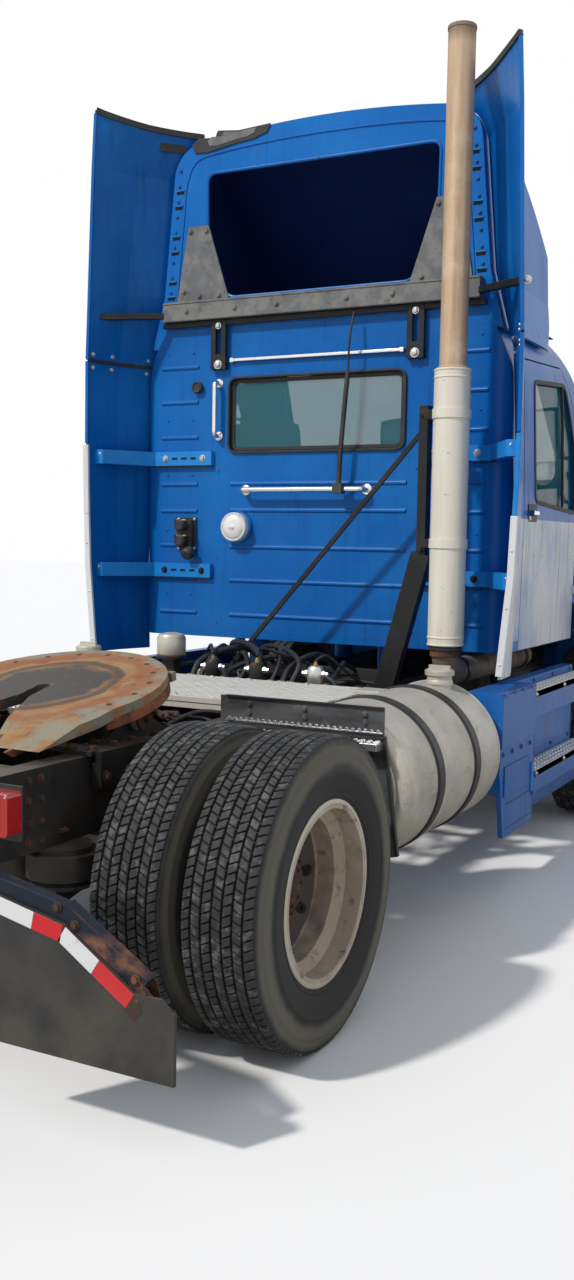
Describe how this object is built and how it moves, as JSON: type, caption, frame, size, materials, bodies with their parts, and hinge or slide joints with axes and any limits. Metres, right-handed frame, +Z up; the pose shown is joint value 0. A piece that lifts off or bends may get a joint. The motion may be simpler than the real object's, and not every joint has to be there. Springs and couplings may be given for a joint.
{
  "type": "tractor unit",
  "caption": "Highway tractor unit with a bonneted day cab, hollow roof fairing, side extenders, upright exhaust, rocking coupling plate and twin rear tyres.",
  "frame": {"origin": "on the ground at the middle of the overall length and width, under the back face of the cab", "axes": "+X to the vehicle's left, +Y to the rear, +Z up; the front faces -Y"},
  "size_m": [2.58, 6.24, 3.99],
  "materials": {
    "cab_blue": "gloss enamel, weathered",
    "door_white": "gloss enamel, chalky",
    "chassis_black": "satin, oily",
    "bare_aluminium": "dull, weathered",
    "rim_steel": "satin, dirty",
    "tyre_rubber": "matte",
    "soft_rubber": "matte",
    "cast_steel": "rusted, greasy",
    "spring_steel": "dull",
    "bright_steel": "polished",
    "black_plastic": "grained",
    "grey_composite": "weathered",
    "tinted_glass": "clear",
    "lamp_clear": "clear",
    "lamp_red": "translucent",
    "seat_cloth": "woven"
  },
  "bodies": {
    "chassis": {"cab_floor": "cab_blue", "cab_front": "cab_blue", "cab_glass": "tinted_glass", "cab_rear_wall": "cab_blue", "cab_roof": "cab_blue", "cab_sides": "cab_blue", "chassis_steps": "cab_blue", "dashboard": "black_plastic", "deck_plate": "bare_aluminium", "driveline": "chassis_black", "engine": "cast_steel", "exhaust_stack": "bright_steel", "extender_brackets": "cab_blue", "fairing_frame": "grey_composite", "fifth_wheel_base": "chassis_black", "flap_hangers": "chassis_black", "frame_rails": "chassis_black", "front_axle": "chassis_black", "front_bumper": "cab_blue", "front_springs": "spring_steel", "fuel_tanks": "bare_aluminium", "mud_flaps": "soft_rubber", "rear_axle": "chassis_black", "rear_guards": "chassis_black", "rear_suspension": "chassis_black", "roof_fairing": "cab_blue", "seats": "seat_cloth", "side_extenders": "cab_blue", "stack_support": "chassis_black", "tail_lamps": "lamp_red", "wall_fittings": "bright_steel"},
    "hood": {"hood": "cab_blue", "grille": "black_plastic", "headlamps": "lamp_clear"},
    "door_left": {"door_left": "cab_blue", "door_glass_left": "tinted_glass", "mirror_left": "black_plastic"},
    "door_right": {"door_right": "cab_blue", "door_glass_right": "tinted_glass", "mirror_right": "black_plastic"},
    "knuckle_left": {"knuckle_left": "chassis_black"},
    "knuckle_right": {"knuckle_right": "chassis_black"},
    "tie_rod": {"tie_rod": "chassis_black"},
    "wheel_front_left": {"front_wheel_left": "rim_steel", "front_tyre_left": "tyre_rubber"},
    "wheel_front_right": {"front_wheel_right": "rim_steel", "front_tyre_right": "tyre_rubber"},
    "wheel_rear_left": {"rear_wheels_left": "rim_steel", "rear_tyres_left": "tyre_rubber"},
    "wheel_rear_right": {"rear_wheels_right": "rim_steel", "rear_tyres_right": "tyre_rubber"},
    "fifth_wheel": {"fifth_wheel_plate": "cast_steel"}
  },
  "joints": [
    {"name": "steer_left", "type": "hinge", "parent": "chassis", "child": "knuckle_left", "pos_m": [0.875, -1.83, 0.515], "axis": [0, 0, 1], "range_deg": [-36, 36]},
    {"name": "steer_right", "type": "hinge", "parent": "chassis", "child": "knuckle_right", "pos_m": [-0.875, -1.83, 0.515], "axis": [0, 0, 1], "range_deg": [-36, 36]},
    {"name": "tie_rod_pivot", "type": "hinge", "parent": "knuckle_left", "child": "tie_rod", "pos_m": [0.875, -1.665, 0.369], "axis": [0, 0, 1], "range_deg": [-36, 36]},
    {"name": "wheel_front_left_spin", "type": "hinge", "parent": "knuckle_left", "child": "wheel_front_left", "pos_m": [1.04, -1.83, 0.515], "axis": [1, 0, 0], "continuous": true},
    {"name": "wheel_front_right_spin", "type": "hinge", "parent": "knuckle_right", "child": "wheel_front_right", "pos_m": [-1.04, -1.83, 0.515], "axis": [1, 0, 0], "continuous": true},
    {"name": "wheel_rear_left_spin", "type": "hinge", "parent": "chassis", "child": "wheel_rear_left", "pos_m": [0.9075, 2.21, 0.515], "axis": [1, 0, 0], "continuous": true},
    {"name": "wheel_rear_right_spin", "type": "hinge", "parent": "chassis", "child": "wheel_rear_right", "pos_m": [-0.9075, 2.21, 0.515], "axis": [1, 0, 0], "continuous": true},
    {"name": "door_left_hinge", "type": "hinge", "parent": "chassis", "child": "door_left", "pos_m": [1.068, -1.285, 1.725], "axis": [0, 0, -1], "range_deg": [0, 68]},
    {"name": "door_right_hinge", "type": "hinge", "parent": "chassis", "child": "door_right", "pos_m": [-1.068, -1.285, 1.725], "axis": [0, 0, 1], "range_deg": [0, 68]},
    {"name": "hood_tilt", "type": "hinge", "parent": "chassis", "child": "hood", "pos_m": [0, -3.01, 0.7], "axis": [1, 0, 0], "range_deg": [0, 65]},
    {"name": "fifth_wheel_rock", "type": "hinge", "parent": "chassis", "child": "fifth_wheel", "pos_m": [0, 2.16, 1.02], "axis": [1, 0, 0], "range_deg": [0, 26]}
  ],
  "couplings": [
    {"joint": "steer_right", "follows": "steer_left", "ratio": 1},
    {"joint": "tie_rod_pivot", "follows": "steer_left", "ratio": -1}
  ]
}
